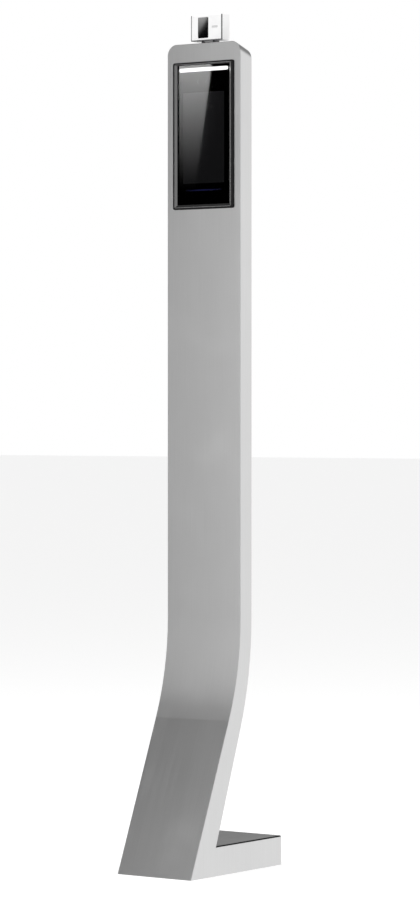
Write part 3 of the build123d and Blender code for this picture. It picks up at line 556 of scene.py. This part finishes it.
# ---------------------------------------------------------------- studio
BASE_LEVEL = 0.08            # even light from every side, which the next three add to
OVERHEAD_LEVEL = 1.1
FRONT_LEVEL = 0.32
REAR_LEVEL = 1.08
AMBIENT_LEVEL = 0.75         # even light on the matt surfaces
OVERHEAD_RISE = (radians(36), radians(80))      # where the overhead light starts and where it is full
# Each lit wall: its bearing to the right of the front, half its width, the soft stretch beside
# it, its height, the soft stretch above it, and the share of its light that stays above that
FRONT_WALL = (radians(-35), radians(50), radians(40), radians(20), radians(14), 0.0)
REAR_WALL = (radians(145), radians(55), radians(30), radians(9), radians(16), 0.16)


def lit_wall(g, direction, wall):
    """1 toward a lit wall of the studio, 0 beside it, and the wall's rest share above it."""
    bearing, half_width, soft, top, fade, rest = wall
    split = g.split(direction)
    flat = g.add("ShaderNodeCombineXYZ", {"X": split["X"], "Y": split["Y"], "Z": 0.0}).outputs[0]
    flat = g.add("ShaderNodeVectorMath", {0: flat}, operation="NORMALIZE").outputs[0]
    toward = (sin(bearing), -cos(bearing), 0.0)
    along = g.add("ShaderNodeVectorMath", {0: flat, 1: toward}, operation="DOT_PRODUCT").outputs["Value"]
    across = g.span(along, cos(half_width + soft), cos(half_width))
    rise = g.span(split["Z"], sin(top), sin(top + fade), 1.0, rest)
    return g.math("MULTIPLY", across, rise)


def make_world():
    """White to the camera, even light on the matt surfaces, and soft lit walls for the rest to mirror."""
    world = bpy.data.worlds.new("studio")
    bpy.context.scene.world = world
    g = Graph(world)
    direction = g.add("ShaderNodeTexCoord").outputs["Generated"]
    overhead = g.span(g.split(direction)["Z"], *[sin(angle) for angle in OVERHEAD_RISE])
    value = g.math("MULTIPLY_ADD", overhead, OVERHEAD_LEVEL, BASE_LEVEL)
    for wall, level in ((FRONT_WALL, FRONT_LEVEL), (REAR_WALL, REAR_LEVEL)):
        value = g.math("MULTIPLY_ADD", lit_wall(g, direction, wall), level, value)
    ray = g.add("ShaderNodeLightPath").outputs
    ambient = (AMBIENT_LEVEL, AMBIENT_LEVEL, AMBIENT_LEVEL, 1)
    value = g.mix(ray["Is Diffuse Ray"], g.grey(value), ambient)
    value = g.mix(ray["Is Camera Ray"], value, (1, 1, 1, 1))
    backdrop = g.add("ShaderNodeBackground", {"Color": value, "Strength": 1.0})
    g.add("ShaderNodeOutputWorld", {"Surface": backdrop.outputs[0]})


def area_light(name, place, toward, width, height, power, glossy=True, diffuse=True):
    data = bpy.data.lights.new(name, "AREA")
    data.shape = "RECTANGLE"
    data.size = width
    data.size_y = height
    data.energy = power
    light = bpy.data.objects.new(name, data)
    light.location = place
    light.rotation_euler = (Vector(toward) - Vector(place)).to_track_quat("-Z", "Y").to_euler()
    light.visible_camera = False
    light.visible_glossy = glossy
    light.visible_diffuse = diffuse
    bpy.context.scene.collection.objects.link(light)


def hide_from(stage_object, *rays):
    for ray in rays:
        setattr(stage_object, "visible_" + ray, False)


OVERHEAD_PLACE = (0.3, -0.6, 3.2)
OVERHEAD_SIDE = 3.0
OVERHEAD_POWER = 50
FILL_PLACE = (2.2, -2.6, 1.9)
FILL_AIM = (0, 0, 1.0)
FILL_SIDE = 1.6
FILL_POWER = 22
STRIP_BEARING = radians(-12)         # the tall strip stands to the left of the front
STRIP_DISTANCE = 1.6
STRIP_HEIGHT = 0.80                  # of its middle
STRIP_SIZE = (0.55, 1.6)
STRIP_POWER = 6.3


def make_lights():
    """A soft overhead and front light for the matt surfaces, and a tall strip for the metal."""
    floor_middle = (0, 0, 0)
    area_light(
        "overhead", OVERHEAD_PLACE, floor_middle, OVERHEAD_SIDE, OVERHEAD_SIDE, OVERHEAD_POWER, glossy=False
    )
    area_light("fill", FILL_PLACE, FILL_AIM, FILL_SIDE, FILL_SIDE, FILL_POWER, glossy=False)
    x, y = STRIP_DISTANCE * sin(STRIP_BEARING), -STRIP_DISTANCE * cos(STRIP_BEARING)
    area_light("strip", (x, y, STRIP_HEIGHT), (0, 0, STRIP_HEIGHT), *STRIP_SIZE, STRIP_POWER, diffuse=False)


CARD_DISTANCE = 1.0          # reflection cards stand this far in front of the glass
CARD_MARGIN = 6.0 * MM       # and reach this far past it, as seen in the glass


def reflection_card(name, receivers, box, lit_x, lit_z, right_top, right_low, soft, peak, fade):
    """An unseen card in front of a flat surface that shows only as a reflection in the receivers.

    box is the surface's box. On the surface the lit area starts at x = lit_x and runs over the
    heights lit_z. Its right edge slants from x = right_low to x = right_top. The light falls from
    peak at the top to nothing at the bottom, by the power fade. The rest of the card is black.
    """
    low, high = box
    eye = Vector((camera_place.x, 2 * low.y - camera_place.y, camera_place.z))
    zoom = 1 + CARD_DISTANCE / (eye.y - low.y)

    def cast(x, z):
        return eye + (Vector((x, low.y, z)) - eye) * zoom

    def cast_x(x):
        return cast(x, 0.0).x

    def cast_z(z):
        return cast(0.0, z).z

    left, right = low.x - CARD_MARGIN, high.x + CARD_MARGIN
    bottom, top = low.z - CARD_MARGIN, high.z + CARD_MARGIN
    mesh = bpy.data.meshes.new(name)
    corners = [cast(x, z) for x, z in ((left, bottom), (right, bottom), (right, top), (left, top))]
    mesh.from_pydata(corners, [], [(0, 1, 2, 3)])
    card = bpy.data.objects.new(name, mesh)
    bpy.context.scene.collection.objects.link(card)

    material = bpy.data.materials.new(name)
    g = Graph(material)
    axes = g.axes()
    rise = g.span(axes["Z"], cast_z(lit_z[0]), cast_z(lit_z[1]), smooth=False)
    edge = g.math("MULTIPLY_ADD", rise, cast_x(right_top) - cast_x(right_low), cast_x(right_low))
    past = g.math("SUBTRACT", axes["X"], edge)
    inside = g.span(past, -soft * zoom, soft * zoom, 1.0, 0.0)
    border = g.span(axes["X"], cast_x(lit_x), cast_x(lit_x + soft))
    level = g.math("MULTIPLY", g.math("POWER", rise, fade), peak)
    level = g.math("MULTIPLY", g.math("MULTIPLY", inside, border), level)
    glow = g.add("ShaderNodeEmission", {"Color": (1, 1, 1, 1), "Strength": level})
    g.add("ShaderNodeOutputMaterial", {"Surface": glow.outputs[0]})
    mesh.materials.append(material)

    hide_from(card, "camera", "diffuse", "transmission", "shadow")
    only = bpy.data.collections.new(name + "_receiver")
    for receiver in receivers:
        only.objects.link(receiver)
    card.light_linking.receiver_collection = only


def make_reflections(pane):
    """The pale slanted band across the terminal's glass, and the smaller one in the sensor window."""
    reflection_card(
        "terminal_glare", (pane, nodes["display_panel"]), (glass_low, glass_high),
        lit_x=glass_low.x + 2 * MM, lit_z=(display_low.z - 11 * MM, bar_low.z + 4 * MM),
        right_top=14.0 * MM, right_low=-15.0 * MM, soft=2.2 * MM, peak=12.4, fade=2.05,
    )
    below = 0.1 * (window_high.z - window_low.z)
    reflection_card(
        "sensor_glare", (nodes["sensor_window"],), (window_low, window_high),
        lit_x=window_low.x - 3 * MM, lit_z=(window_low.z - below, window_high.z),
        right_top=2.2 * MM, right_low=-20.0 * MM, soft=1.1 * MM, peak=8.0, fade=1.3,
    )


FLOOR_HALF = 40.0
FLOOR_TONE = 0.86
FLOOR_LIFT = 0.25            # the floor's own glow, so that it stays pale


def make_floor():
    mesh = bpy.data.meshes.new("floor")
    corners = [(x * FLOOR_HALF, y * FLOOR_HALF, 0.0) for x, y in ((-1, -1), (1, -1), (1, 1), (-1, 1))]
    mesh.from_pydata(corners, [], [(0, 1, 2, 3)])
    floor = bpy.data.objects.new("floor", mesh)
    bpy.context.scene.collection.objects.link(floor)
    material = bpy.data.materials.new("pale_floor")
    g = Graph(material)
    matt = g.add("ShaderNodeBsdfDiffuse", {"Color": (FLOOR_TONE, FLOOR_TONE, FLOOR_TONE, 1)})
    lift = g.add("ShaderNodeEmission", {"Color": (1, 1, 1, 1), "Strength": FLOOR_LIFT})
    both = g.add("ShaderNodeAddShader", {0: matt.outputs[0], 1: lift.outputs[0]})
    g.add("ShaderNodeOutputMaterial", {"Surface": both.outputs[0]})
    mesh.materials.append(material)
    hide_from(floor, "glossy", "diffuse", "transmission", "shadow")


# ---------------------------------------------------------------- the scene
bpy.context.scene.view_settings.view_transform = "Standard"
make_camera()
make_world()
make_floor()
make_lights()
finishes = dress_nodes()
pane = make_pane(finishes)
make_back_print()
make_lens_rings()
make_sensor_mark()
make_reflections(pane)
